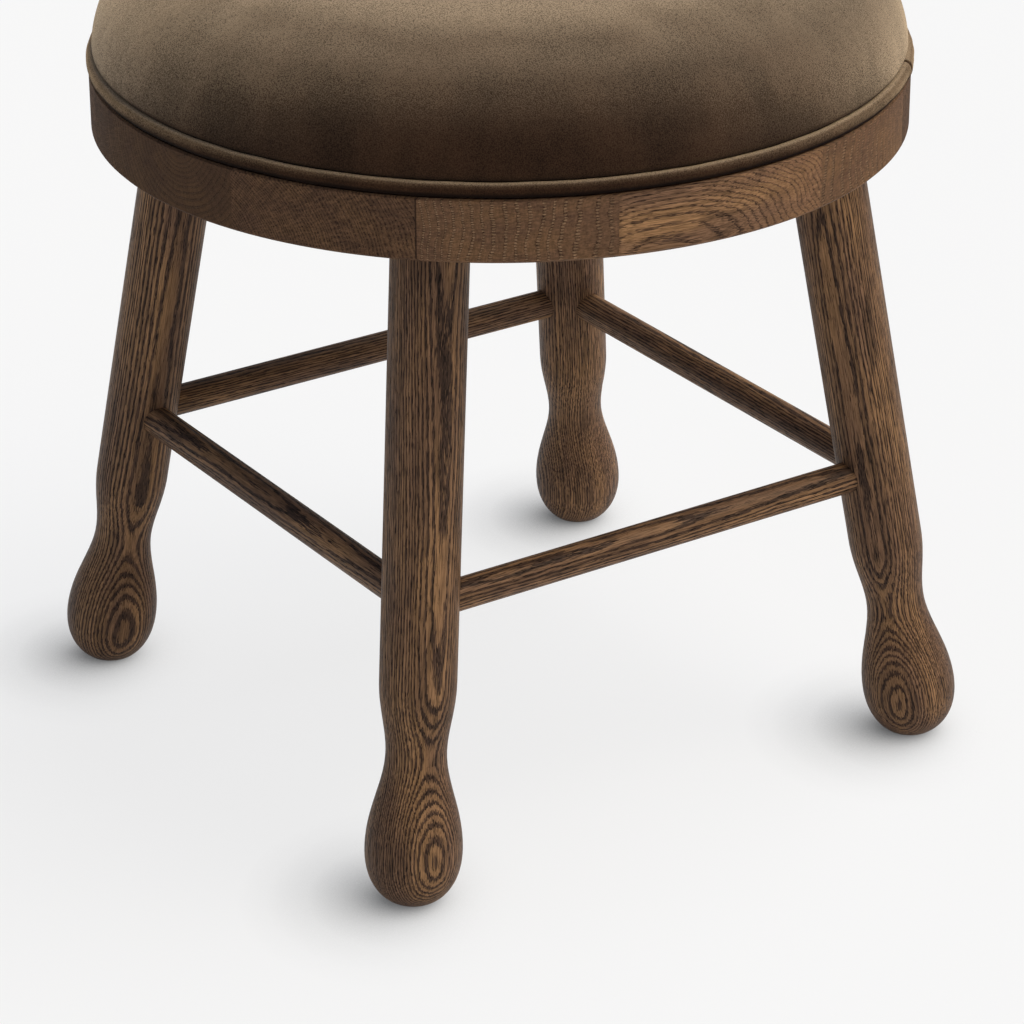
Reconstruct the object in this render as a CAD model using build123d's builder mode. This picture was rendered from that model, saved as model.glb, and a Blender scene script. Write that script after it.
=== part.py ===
from build123d import *
from math import cos, radians, sin, tan
import os

# Round upholstered stool: a velvet pad on a solid oak seat slab, carried by four turned, splayed legs
# that four round stretchers tie together. Millimetres, +Z up, origin on the floor under the seat's centre.

# Seat slab, an edge-glued panel of oak boards
SLAB_RADIUS = 216.0
SLAB_THICKNESS = 33.0
SLAB_UNDERSIDE = 348.0
SLAB_TOP_EASE = 1.0
SLAB_BOTTOM_EASE = 1.5
PANEL_TURN = -1.85
EDGE_STRIP_WIDTH = 8.5
NARROW_BOARD_WIDTH = 48.0
MIDDLE_BOARD_WIDTH = 83.0
WIDE_BOARD_WIDTH = 138.0

# Legs, turned about their own axes, which lean outwards towards the floor
LEG_INSET = 45.2
LEG_SPLAY = 10.4
LEG_RADIUS = 20.0
NECK_RADIUS = 15.8
BULB_RADIUS = 25.4
BULB_HEIGHT = 28.5
BULB_SINK = 2.0
NECK_RISE = 52.5
SHAFT_RISE = 38.0
ROUND_HANDLE = 0.61
WAIST_HANDLE = 0.4
NECK_HANDLE = 0.33
TENON_RADIUS = 14.0
TENON_CHAMFER = 1.5
MORTISE_LAND = 6.0
GLIDE_THICKNESS = 1.5
GLIDE_MARGIN = 3.2
GLIDE_EASE = 0.5

# Stretchers, plain round rods let into the legs at full diameter
STRETCHER_RADIUS = 8.5
STRETCHER_HEIGHT = 156.0
STRETCHER_END_GAP = 1.0
STRETCHER_CHAMFER = 1.0

# Upholstered pad: velvet over wadding over foam, on a plywood base
BASE_THICKNESS = 12.0
COVER_THICKNESS = 1.6
WADDING_THICKNESS = 6.0
HEM_WIDTH = 24.0
PAD_BULGE_RADIUS = 3.8
PAD_TUCK_TURN = 65.0
PAD_SIDE_ROUND = 50.0
PAD_SIDE_TURN = 48.0
PAD_SHOULDER_ROUND = 115.0
PAD_SHOULDER_TURN = 26.0

# Welt, a cord in a velvet sleeve whose flange is held under the pad
WELT_RADIUS = 3.8
WELT_SLEEVE = 1.2
WELT_OVERHANG = 1.2
WELT_LIFT = 0.4
FLANGE_THICKNESS = 1.0

# Fixings
STAPLE_COUNT = 32
STAPLE_CROWN = 11.0
STAPLE_BITE = 6.4
STAPLE_WIRE = 0.7
SCREW_COUNT = 4
SCREW_INSET = 76.0
SCREW_RADIUS = 2.2
SCREW_HEAD_RADIUS = 4.8
SCREW_HEAD_HEIGHT = 3.0
SCREW_HEAD_ROUND = 1.0
SCREW_SINK = 10.0
SCREW_BITE = 8.0
SCREW_POINT = 3.0
DRIVE_RADIUS = 2.0
DRIVE_DEPTH = 1.6

# Clearances
GLUE_GAP = 0.1
FIT_GAP = 0.2
SCREW_CLEARANCE = 0.4
HEAD_CLEARANCE = 1.2
MORTISE_RELIEF = 1.0

# Heights of the stack above the slab
slab_top = SLAB_UNDERSIDE + SLAB_THICKNESS
hem_low = slab_top + FLANGE_THICKNESS
base_low = hem_low + COVER_THICKNESS
base_top = base_low + BASE_THICKNESS
welt_height = slab_top + WELT_LIFT + WELT_RADIUS
staple_length = FLANGE_THICKNESS + COVER_THICKNESS + STAPLE_BITE

# Radii about the stool's axis
welt_circle = SLAB_RADIUS + WELT_OVERHANG - WELT_RADIUS
crease_radius = WELT_RADIUS + FIT_GAP
tuck_radius = welt_circle - crease_radius
base_radius = tuck_radius - COVER_THICKNESS - FIT_GAP
hem_radius = base_radius - HEM_WIDTH
staple_circle = base_radius - HEM_WIDTH / 2
screw_circle = SLAB_RADIUS - SCREW_INSET

# The pad swells out over the welt, then rises through a side round and a wider shoulder into its crown
swing = radians(PAD_TUCK_TURN)
side_radius = tuck_radius + (crease_radius + PAD_BULGE_RADIUS) * (1 - cos(swing))
side_height = welt_height + (crease_radius + PAD_BULGE_RADIUS) * sin(swing)
crown_turn = 90 - PAD_SIDE_TURN - PAD_SHOULDER_TURN
shoulder_radius = side_radius - PAD_SIDE_ROUND * (1 - cos(radians(PAD_SIDE_TURN)))
crown_rim = shoulder_radius - PAD_SHOULDER_ROUND * (cos(radians(PAD_SIDE_TURN)) - sin(radians(crown_turn)))
crown_radius = crown_rim / sin(radians(crown_turn))

# Leg frame: where the axes cross the slab's underside and how far they run from there to the floor. The ball's
# round would reach a little below the floor, so that cutting it level leaves a flat.
splay = radians(LEG_SPLAY)
leg_circle = SLAB_RADIUS - LEG_INSET
leg_length = SLAB_UNDERSIDE / cos(splay)
ball_drop = BULB_HEIGHT + BULB_SINK
neck_height = BULB_HEIGHT + NECK_RISE
shaft_height = neck_height + SHAFT_RISE
tenon_length = (SLAB_THICKNESS - MORTISE_LAND) / cos(splay) - TENON_RADIUS * tan(splay)
stretcher_end = STRETCHER_RADIUS + STRETCHER_END_GAP

LEG_ANGLES = {"front_right": -45, "rear_right": 45, "rear_left": 135, "front_left": 225}
STRETCHER_ENDS = {
    "front": ("front_left", "front_right"),
    "right": ("front_right", "rear_right"),
    "rear": ("rear_right", "rear_left"),
    "left": ("rear_left", "front_left"),
}


def leg_direction(corner):
    """The direction from foot to seat along a leg's axis."""
    angle = radians(LEG_ANGLES[corner])
    return Vector(-sin(splay) * cos(angle), -sin(splay) * sin(angle), cos(splay))


def leg_point(corner, height):
    """The point of a leg's axis at a height above the floor."""
    angle = radians(LEG_ANGLES[corner])
    radius = leg_circle + (SLAB_UNDERSIDE - height) * tan(splay)
    return Vector(radius * cos(angle), radius * sin(angle), height)


def run_between(start, end):
    """The direction from one point to another."""
    return (end - start).normalized()


def write_piece(part, name):
    """Labels a finished piece and writes it under its node's name."""
    part.label = name
    export_step(part, f"parts/{name}.step")


def make_leg(corner):
    """A turned leg with a flat under its ball foot, two stretcher sockets and a round tenon."""
    up = leg_direction(corner)
    floor_point = leg_point(corner, 0)
    side = up.cross(Vector(0, 0, 1)).normalized()
    profile_plane = Plane(origin=floor_point, x_dir=side, z_dir=side.cross(up))
    overrun = leg_length + LEG_RADIUS
    with BuildPart() as leg:
        with BuildSketch(profile_plane):
            with BuildLine():
                ball = Bezier(
                    (0, BULB_HEIGHT - ball_drop),
                    (BULB_RADIUS * ROUND_HANDLE, BULB_HEIGHT - ball_drop),
                    (BULB_RADIUS, BULB_HEIGHT - ball_drop * ROUND_HANDLE),
                    (BULB_RADIUS, BULB_HEIGHT),
                )
                waist = Bezier(
                    ball @ 1,
                    (BULB_RADIUS, BULB_HEIGHT + NECK_RISE * WAIST_HANDLE),
                    (NECK_RADIUS, neck_height - NECK_RISE * NECK_HANDLE),
                    (NECK_RADIUS, neck_height),
                )
                swell = Bezier(
                    waist @ 1,
                    (NECK_RADIUS, neck_height + SHAFT_RISE * NECK_HANDLE),
                    (LEG_RADIUS, shaft_height - SHAFT_RISE * WAIST_HANDLE),
                    (LEG_RADIUS, shaft_height),
                )
                Polyline(swell @ 1, (LEG_RADIUS, overrun), (0, overrun), ball @ 0)
            make_face()
        revolve(axis=Axis(floor_point, up))
        split(bisect_by=Plane.XY.offset(GLIDE_THICKNESS), keep=Keep.TOP)
        split(bisect_by=Plane.XY.offset(SLAB_UNDERSIDE), keep=Keep.BOTTOM)
        with BuildSketch(Plane(origin=leg_point(corner, SLAB_UNDERSIDE) - up * LEG_RADIUS, z_dir=up)):
            Circle(TENON_RADIUS)
        extrude(amount=LEG_RADIUS + tenon_length)
        tenon_end = leg.faces().sort_by(Axis(floor_point, up))[-1]
        chamfer(tenon_end.edges(), TENON_CHAMFER)
        joint = leg_point(corner, STRETCHER_HEIGHT)
        for ends in STRETCHER_ENDS.values():
            if corner in ends:
                other = ends[1 - ends.index(corner)]
                along = run_between(joint, leg_point(other, STRETCHER_HEIGHT))
                with BuildSketch(Plane(origin=joint + along * (stretcher_end - FIT_GAP), z_dir=along)):
                    Circle(STRETCHER_RADIUS + GLUE_GAP)
                extrude(amount=2 * LEG_RADIUS, mode=Mode.SUBTRACT)
    return leg.part


def make_stretcher(ends):
    """A round rod between two legs, stopped short of the rod that meets it inside each leg."""
    start = leg_point(ends[0], STRETCHER_HEIGHT)
    end = leg_point(ends[1], STRETCHER_HEIGHT)
    along = run_between(start, end)
    with BuildPart() as rod:
        with BuildSketch(Plane(origin=start + along * stretcher_end, z_dir=along)):
            Circle(STRETCHER_RADIUS)
        extrude(amount=(end - start).length - 2 * stretcher_end)
        chamfer(rod.edges().filter_by(GeomType.CIRCLE), STRETCHER_CHAMFER)
    return rod.part


def make_glide(foot):
    """A felt disc under the flat of a foot."""
    centre = foot.center()
    flat = foot.bounding_box().size
    with BuildPart() as glide:
        with BuildSketch(Plane.XY):
            with Locations((centre.X, centre.Y)):
                Circle(min(flat.X, flat.Y) / 2 - GLIDE_MARGIN)
        extrude(amount=GLIDE_THICKNESS)
        fillet(glide.edges().group_by(Axis.Z)[0], GLIDE_EASE)
    return glide.part


def pad_dome(inset):
    """Draws the pad's side, shoulder and crown, set in by an amount, from its widest level up to the axis."""
    side = JernArc((side_radius - inset, side_height), (0, 1), PAD_SIDE_ROUND - inset, PAD_SIDE_TURN)
    shoulder = JernArc(side @ 1, side % 1, PAD_SHOULDER_ROUND - inset, PAD_SHOULDER_TURN)
    crown = JernArc(shoulder @ 1, shoulder % 1, crown_radius - inset, crown_turn)
    return side, crown


def dome_profile(inset):
    """Half the pad's section above its base's underside, straight-sided up to its widest level."""
    with BuildSketch(Plane.XZ) as profile:
        with BuildLine():
            side, crown = pad_dome(inset)
            Polyline(crown @ 1, (0, base_low), (side_radius - inset, base_low), side @ 0)
        make_face()
    return profile.sketch


def cover_profile(inset):
    """Half the covered pad's section: tucked in behind the welt, swelling out over it, domed above."""
    low = hem_low + inset
    with BuildSketch(Plane.XZ) as profile:
        with BuildLine():
            side, crown = pad_dome(inset)
            tuck = JernArc((tuck_radius - inset, welt_height), (0, 1), crease_radius + inset, -PAD_TUCK_TURN)
            JernArc(tuck @ 1, tuck % 1, PAD_BULGE_RADIUS - inset, PAD_TUCK_TURN)
            Polyline(crown @ 1, (0, low), (tuck_radius - inset, low), tuck @ 0)
        make_face()
    return profile.sketch


os.makedirs("parts", exist_ok=True)

# Legs and their glides
legs = {corner: make_leg(corner) for corner in LEG_ANGLES}
for corner, leg in legs.items():
    write_piece(leg, f"leg_{corner}")
    write_piece(make_glide(leg.faces().sort_by(Axis.Z)[0]), f"glide_{corner}")

# Stretchers
for side_name, ends in STRETCHER_ENDS.items():
    write_piece(make_stretcher(ends), f"stretcher_{side_name}")

# The whole slab, with its leg mortises and counterbored screw holes
with BuildPart() as slab:
    with BuildSketch(Plane.XY.offset(SLAB_UNDERSIDE)):
        Circle(SLAB_RADIUS)
    extrude(amount=SLAB_THICKNESS)
    chamfer(slab.edges().group_by(Axis.Z)[-1], SLAB_TOP_EASE)
    chamfer(slab.edges().group_by(Axis.Z)[0], SLAB_BOTTOM_EASE)
    for corner in LEG_ANGLES:
        up = leg_direction(corner)
        with BuildSketch(Plane(origin=leg_point(corner, SLAB_UNDERSIDE) - up * LEG_RADIUS, z_dir=up)):
            Circle(TENON_RADIUS + GLUE_GAP)
        extrude(amount=LEG_RADIUS + tenon_length + MORTISE_RELIEF, mode=Mode.SUBTRACT)
    with Locations(Plane(origin=(0, 0, SLAB_UNDERSIDE), z_dir=(0, 0, -1))):
        with PolarLocations(screw_circle, SCREW_COUNT):
            CounterBoreHole(
                radius=SCREW_RADIUS + SCREW_CLEARANCE,
                counter_bore_radius=SCREW_HEAD_RADIUS + HEAD_CLEARANCE,
                counter_bore_depth=SCREW_SINK,
                depth=SLAB_THICKNESS,
            )

# Its boards, from the thin strip at the right-hand edge; the last board takes what is left
board_widths = [EDGE_STRIP_WIDTH, NARROW_BOARD_WIDTH, MIDDLE_BOARD_WIDTH, WIDE_BOARD_WIDTH]
board_widths.append(2 * SLAB_RADIUS - sum(board_widths))
panel_plane = Plane.XY.offset(SLAB_UNDERSIDE).rotated((0, 0, PANEL_TURN))
right_edge = SLAB_RADIUS
for number, width in enumerate(board_widths, start=1):
    with BuildPart() as board:
        add(slab.part)
        with BuildSketch(panel_plane):
            with Locations((right_edge - width / 2, 0)):
                Rectangle(width, 2 * SLAB_RADIUS)
        extrude(amount=SLAB_THICKNESS, mode=Mode.INTERSECT)
    write_piece(board.part, f"seat_board_{number}")
    right_edge -= width

# Staples, drawn once for their own solids and for the slots they leave in what they hold
with BuildSketch(Plane.XY.offset(slab_top)) as staple_crowns:
    with PolarLocations(staple_circle, STAPLE_COUNT):
        Rectangle(STAPLE_WIRE, STAPLE_CROWN)
with BuildSketch(Plane.XY.offset(slab_top)) as staple_legs:
    with PolarLocations(staple_circle, STAPLE_COUNT):
        with GridLocations(0, STAPLE_CROWN - STAPLE_WIRE, 1, 2):
            Rectangle(STAPLE_WIRE, STAPLE_WIRE)

# Plywood base, with the screws' pilot holes
with BuildPart() as pad_base:
    with BuildSketch(Plane.XY.offset(base_low)):
        Circle(base_radius)
        with PolarLocations(screw_circle, SCREW_COUNT):
            Circle(SCREW_RADIUS, mode=Mode.SUBTRACT)
    extrude(amount=BASE_THICKNESS)
    extrude(staple_legs.sketch, amount=staple_length, mode=Mode.SUBTRACT)
write_piece(pad_base.part, "pad_base")

# Foam, from the base up to the crown
with BuildPart() as pad_foam:
    revolve(dome_profile(COVER_THICKNESS + WADDING_THICKNESS + 2 * GLUE_GAP), axis=Axis.Z)
    split(bisect_by=Plane.XY.offset(base_top), keep=Keep.TOP)
write_piece(pad_foam.part, "pad_foam")

# Wadding over the foam, with a lip down round the base's upper edge
with BuildPart() as pad_wadding:
    revolve(dome_profile(COVER_THICKNESS + GLUE_GAP), axis=Axis.Z)
    split(bisect_by=Plane.XY.offset(side_height), keep=Keep.TOP)
    revolve(dome_profile(COVER_THICKNESS + WADDING_THICKNESS + GLUE_GAP), axis=Axis.Z, mode=Mode.SUBTRACT)
    with BuildSketch(Plane.XY.offset(base_low)):
        Circle(base_radius + GLUE_GAP)
    extrude(amount=BASE_THICKNESS, mode=Mode.SUBTRACT)
write_piece(pad_wadding.part, "pad_wadding")

# Velvet cover, turned under the base in a hem
with BuildPart() as seat_cover:
    revolve(cover_profile(0), axis=Axis.Z)
    revolve(cover_profile(COVER_THICKNESS), axis=Axis.Z, mode=Mode.SUBTRACT)
    with BuildSketch(Plane.XY.offset(hem_low)):
        Circle(hem_radius)
    extrude(amount=COVER_THICKNESS, mode=Mode.SUBTRACT)
    extrude(staple_legs.sketch, amount=staple_length, mode=Mode.SUBTRACT)
write_piece(seat_cover.part, "seat_cover")

# Welt sleeve with its flange, and the cord inside it
with BuildPart() as welt_cover:
    with BuildSketch(Plane.XZ):
        with Locations((welt_circle, welt_height)):
            Circle(WELT_RADIUS)
        with Locations((hem_radius, slab_top)):
            Rectangle(welt_circle - hem_radius, FLANGE_THICKNESS, align=(Align.MIN, Align.MIN))
        with Locations((welt_circle, welt_height)):
            Circle(WELT_RADIUS - WELT_SLEEVE, mode=Mode.SUBTRACT)
    revolve(axis=Axis.Z)
    extrude(staple_crowns.sketch, amount=STAPLE_WIRE, mode=Mode.SUBTRACT)
    extrude(staple_legs.sketch, amount=staple_length, mode=Mode.SUBTRACT)
write_piece(welt_cover.part, "welt_cover")

with BuildPart() as welt_cord:
    with BuildSketch(Plane.XZ):
        with Locations((welt_circle, welt_height)):
            Circle(WELT_RADIUS - WELT_SLEEVE - GLUE_GAP)
    revolve(axis=Axis.Z)
write_piece(welt_cord.part, "welt_cord")

# Staples under the hem
with BuildPart() as cover_staples:
    extrude(staple_crowns.sketch, amount=STAPLE_WIRE)
    extrude(staple_legs.sketch, amount=staple_length)
write_piece(cover_staples.part, "cover_staples")

# Wood screws up through the slab into the base
head_seat = SLAB_UNDERSIDE + SCREW_SINK
screw_tip = base_low + SCREW_BITE
with BuildPart() as pad_screws:
    with BuildSketch(Plane.XZ):
        with BuildLine():
            Polyline(
                (0, head_seat - SCREW_HEAD_HEIGHT),
                (SCREW_HEAD_RADIUS, head_seat - SCREW_HEAD_HEIGHT),
                (SCREW_HEAD_RADIUS, head_seat),
                (SCREW_RADIUS, head_seat),
                (SCREW_RADIUS, screw_tip - SCREW_POINT),
                (0, screw_tip),
                close=True,
            )
        make_face()
    revolve(axis=Axis.Z)
    fillet(pad_screws.edges().group_by(Axis.Z)[0], SCREW_HEAD_ROUND)
    with BuildSketch(Plane.XY.offset(head_seat - SCREW_HEAD_HEIGHT)):
        RegularPolygon(DRIVE_RADIUS, 6)
    extrude(amount=DRIVE_DEPTH, mode=Mode.SUBTRACT)
    one_screw = pad_screws.part
with BuildPart() as screw_group:
    with PolarLocations(screw_circle, SCREW_COUNT):
        add(one_screw)
write_piece(screw_group.part, "pad_screws")
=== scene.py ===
import logging
import math
from dataclasses import dataclass
from enum import Enum
from typing import Any, Dict, List, Optional, Sequence, Tuple, Union

import bpy
import numpy as np
from mathutils import Matrix, Vector, noise


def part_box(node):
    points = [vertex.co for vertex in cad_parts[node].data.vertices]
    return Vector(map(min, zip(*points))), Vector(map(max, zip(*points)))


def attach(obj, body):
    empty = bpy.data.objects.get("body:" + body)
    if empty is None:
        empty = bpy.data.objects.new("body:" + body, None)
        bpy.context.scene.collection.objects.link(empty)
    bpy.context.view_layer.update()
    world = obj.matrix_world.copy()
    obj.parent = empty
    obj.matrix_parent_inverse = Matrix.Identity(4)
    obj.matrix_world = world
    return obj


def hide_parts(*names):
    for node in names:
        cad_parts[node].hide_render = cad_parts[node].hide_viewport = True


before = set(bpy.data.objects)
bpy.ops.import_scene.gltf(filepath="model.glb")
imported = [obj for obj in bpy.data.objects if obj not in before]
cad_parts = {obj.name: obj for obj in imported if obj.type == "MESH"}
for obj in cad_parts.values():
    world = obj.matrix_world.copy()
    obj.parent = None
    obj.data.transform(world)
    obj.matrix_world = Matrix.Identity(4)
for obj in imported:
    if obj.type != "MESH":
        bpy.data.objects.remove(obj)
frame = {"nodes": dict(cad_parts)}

# Round upholstered stool: a velvet pad with a welt on a solid oak seat panel, four turned legs, four rods.
# Lengths are in metres unless a name ends in _mm. Angles are in degrees.

log = logging.getLogger("stool")

BODY = "root"
MM = 0.001
UP = Vector((0.0, 0.0, 1.0))
SENSOR_MM = 36.0
WELT_CIRCLE = 0.2134
WELT_HEIGHT = 0.3852

Colour = Tuple[float, float, float, float]
Triple = Tuple[float, float, float]
Pair = Tuple[float, float]
Level = Union["Signal", float]
Settings = Optional[Dict[str, Any]]
Sockets = Optional[Dict[Any, Any]]


class Slot(Enum):
    """The record's material slots for the new pieces."""

    VELVET = "velvet"
    FELT = "felt"


class Around(Enum):
    """Places about the stool's axis, each by its angle in degrees."""

    @property
    def label(self) -> str:
        """The place's name as the nodes spell it."""
        return self.name.lower()

    @property
    def outward(self) -> Vector:
        """The level direction from the stool's axis to the place."""
        return bearing(self.value)


class Corner(Around):
    """The four legs."""

    FRONT_RIGHT = -45.0
    REAR_RIGHT = 45.0
    REAR_LEFT = 135.0
    FRONT_LEFT = 225.0


class Side(Around):
    """The four rods between the legs."""

    FRONT = -90.0
    RIGHT = 0.0
    REAR = 90.0
    LEFT = 180.0


def bearing(degrees: float) -> Vector:
    """The level direction at an angle about the stool's axis."""
    angle = math.radians(degrees)
    return Vector((math.cos(angle), math.sin(angle), 0.0))


def rgb(red: int, green: int, blue: int) -> Colour:
    """Turns a display colour into the linear colour that a shader reads.

    Args:
        red: Red, 0 to 255.
        green: Green, 0 to 255.
        blue: Blue, 0 to 255.

    Returns:
        The linear colour with full alpha.
    """
    def linear(value: int) -> float:
        """Undoes the display's curve for one channel."""
        share = value / 255
        return share / 12.92 if share <= 0.04045 else ((share + 0.055) / 1.055) ** 2.4

    return (linear(red), linear(green), linear(blue), 1.0)


class Signal:
    """A number that varies over a surface. Arithmetic on it adds the Math nodes it stands for."""

    def __init__(self, graph: "Graph", socket: bpy.types.NodeSocket) -> None:
        """Keeps the graph and the socket that carries the number."""
        self.graph = graph
        self.socket = socket

    def math(self, operation: str, *values: Level) -> "Signal":
        """Adds one Math node.

        Args:
            operation: The node's operation.
            values: Its inputs in order.

        Returns:
            The node's result.
        """
        return self.graph.signal("ShaderNodeMath", {"operation": operation}, dict(enumerate(values)))

    def __add__(self, other: Level) -> "Signal":
        """Sum."""
        return self.math("ADD", self, other)

    def __radd__(self, other: Level) -> "Signal":
        """Sum with a number on the left."""
        return self.math("ADD", other, self)

    def __sub__(self, other: Level) -> "Signal":
        """Difference."""
        return self.math("SUBTRACT", self, other)

    def __rsub__(self, other: Level) -> "Signal":
        """Difference from a number on the left."""
        return self.math("SUBTRACT", other, self)

    def __mul__(self, other: Level) -> "Signal":
        """Product."""
        return self.math("MULTIPLY", self, other)

    def __rmul__(self, other: Level) -> "Signal":
        """Product with a number on the left."""
        return self.math("MULTIPLY", other, self)

    def __truediv__(self, other: Level) -> "Signal":
        """Quotient."""
        return self.math("DIVIDE", self, other)

    def __pow__(self, other: Level) -> "Signal":
        """Power."""
        return self.math("POWER", self, other)

    def __abs__(self) -> "Signal":
        """Size without its sign."""
        return self.math("ABSOLUTE", self)

    def floor(self) -> "Signal":
        """The whole number below."""
        return self.math("FLOOR", self)

    def greater(self, other: Level) -> "Signal":
        """The larger of two."""
        return self.math("MAXIMUM", self, other)

    def fade(self, start: Level, end: Level) -> "Signal":
        """Rises smoothly from 0 at start to 1 at end, and falls where start is the larger.

        Args:
            start: Where the result is 0.
            end: Where the result is 1.

        Returns:
            The eased share.
        """
        settings = {"interpolation_type": "SMOOTHSTEP"}
        return self.graph.signal("ShaderNodeMapRange", settings, {0: self, 1: start, 2: end})


class Graph:
    """The node graph of a new material, or of the room's light."""

    def __init__(self, owner: Union[bpy.types.Material, bpy.types.World]) -> None:
        """Starts the owner's node tree afresh."""
        owner.use_nodes = True
        self.owner = owner
        self.tree = owner.node_tree
        self.tree.nodes.clear()

    def add(self, kind: str, settings: Settings = None, sockets: Sockets = None) -> bpy.types.Node:
        """Adds a node.

        Args:
            kind: The node's type.
            settings: Properties of the node, set first.
            sockets: Values or links of its inputs, by name or place.

        Returns:
            The node.
        """
        node = self.tree.nodes.new(kind)
        for name, value in (settings or {}).items():
            setattr(node, name, value)
        for key, value in (sockets or {}).items():
            source = value.socket if isinstance(value, Signal) else value
            if isinstance(source, bpy.types.NodeSocket):
                self.tree.links.new(source, node.inputs[key])
            else:
                node.inputs[key].default_value = source
        return node

    def signal(
        self, kind: str, settings: Settings = None, sockets: Sockets = None, output: Union[int, str] = 0
    ) -> Signal:
        """Adds a node and gives one of its outputs as a signal.

        Args:
            kind: The node's type.
            settings: Properties of the node.
            sockets: Values or links of its inputs.
            output: The output's name or place.

        Returns:
            The output.
        """
        return Signal(self, self.add(kind, settings, sockets).outputs[output])

    def vector(self, operation: str, *values: Any) -> bpy.types.NodeSocket:
        """Adds a Vector Math node.

        Args:
            operation: The node's operation.
            values: Its vectors in order.

        Returns:
            The resulting vector.
        """
        node = self.add("ShaderNodeVectorMath", {"operation": operation}, dict(enumerate(values)))
        return node.outputs[0]

    def shade(self, colour: Any, level: Level) -> bpy.types.NodeSocket:
        """Makes a colour brighter or darker by a factor."""
        start = colour[:3] if isinstance(colour, tuple) else colour
        sockets = {0: start, "Scale": level}
        return self.add("ShaderNodeVectorMath", {"operation": "SCALE"}, sockets).outputs[0]

    def mix(self, share: Level, first: Any, second: Any) -> bpy.types.NodeSocket:
        """Goes from one colour to another.

        Args:
            share: How much of the second colour.
            first: The colour at 0.
            second: The colour at 1.

        Returns:
            The mixed colour.
        """
        return self.add("ShaderNodeMix", {"data_type": "RGBA"}, {0: share, 6: first, 7: second}).outputs[2]

    def place(self, axes: Matrix, origin: Vector) -> bpy.types.NodeSocket:
        """The surface's place in a pattern's own frame, in millimetres.

        Args:
            axes: The frame's three axes, as rows.
            origin: The frame's origin on the stool.

        Returns:
            The place as a vector.
        """
        shift = -(axes @ origin) / MM
        spot = self.add("ShaderNodeTexCoord").outputs["Object"]
        sockets = {"Vector": spot, "Location": shift, "Rotation": axes.to_euler(), "Scale": (1 / MM,) * 3}
        return self.add("ShaderNodeMapping", None, sockets).outputs[0]

    def split(self, vector: bpy.types.NodeSocket) -> List[Signal]:
        """The three coordinates of a vector."""
        return [Signal(self, out) for out in self.add("ShaderNodeSeparateXYZ", None, {0: vector}).outputs]

    def join(self, x: Level, y: Level, z: Level) -> bpy.types.NodeSocket:
        """A vector of three coordinates."""
        return self.add("ShaderNodeCombineXYZ", None, {0: x, 1: y, 2: z}).outputs[0]

    def stretch(self, vector: Any, size: Triple) -> bpy.types.NodeSocket:
        """Measures a place in pattern cells of the given size."""
        return self.vector("DIVIDE", vector, size)

    def cloud(self, vector: Any, size: Triple, detail: float = 2.0, output: int = 0) -> Signal:
        """Noise of a given grain size.

        Args:
            vector: The place, in millimetres.
            size: The grain's size along each axis, in millimetres.
            detail: Finer layers added to it.
            output: 0 for one number, 1 for a vector.

        Returns:
            The noise, about 0.5.
        """
        sockets = {"Vector": self.stretch(vector, size), "Scale": 1.0, "Detail": detail}
        return self.signal("ShaderNodeTexNoise", None, sockets, output)

    def cells(self, vector: Any, size: Triple) -> Tuple[Signal, Signal]:
        """Scattered grains of a given spacing.

        Args:
            vector: The place, in millimetres.
            size: The spacing along each axis, in millimetres.

        Returns:
            The distance to the nearest grain, in spacings, and a random number of that grain.
        """
        sockets = {"Vector": self.stretch(vector, size), "Scale": 1.0}
        grains = self.add("ShaderNodeTexVoronoi", {"feature": "F1"}, sockets).outputs
        return Signal(self, grains["Distance"]), self.split(grains["Color"])[0]

    def along(self, vector: Any, direction: Vector) -> Signal:
        """How far a vector goes in a direction."""
        settings = {"operation": "DOT_PRODUCT"}
        return self.signal("ShaderNodeVectorMath", settings, {0: vector, 1: direction}, "Value")

    def relief(self, height: Signal, depth_mm: float) -> bpy.types.NodeSocket:
        """The normal of a surface with a relief.

        Args:
            height: The relief.
            depth_mm: How deep a relief of 1 is.

        Returns:
            The normal.
        """
        return self.add("ShaderNodeBump", None, {"Distance": depth_mm * MM, "Height": height}).outputs[0]

    def surface(self, shader: Dict[str, Any]) -> bpy.types.NodeSocket:
        """Adds a shader with the given values or links of its inputs."""
        return self.add("ShaderNodeBsdfPrincipled", None, shader).outputs[0]

    def put_on(self, piece: bpy.types.Object, surface: bpy.types.NodeSocket) -> None:
        """Ends the graph in a shader and puts the material on a piece.

        Args:
            piece: The object to dress.
            surface: The shader's output.
        """
        self.add("ShaderNodeOutputMaterial", None, {"Surface": surface})
        if not piece.material_slots:
            piece.data.materials.append(self.owner)
        for slot in piece.material_slots:
            slot.material = self.owner

    def finish(
        self, piece: bpy.types.Object, shader: Dict[str, Any], height: Signal, depth_mm: float
    ) -> None:
        """Dresses a piece in one shader with a relief.

        Args:
            piece: The object to dress.
            shader: Values or links of the shader's inputs.
            height: The surface's relief.
            depth_mm: How deep a relief of 1 is.
        """
        self.put_on(piece, self.surface({**shader, "Normal": self.relief(height, depth_mm)}))


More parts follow.
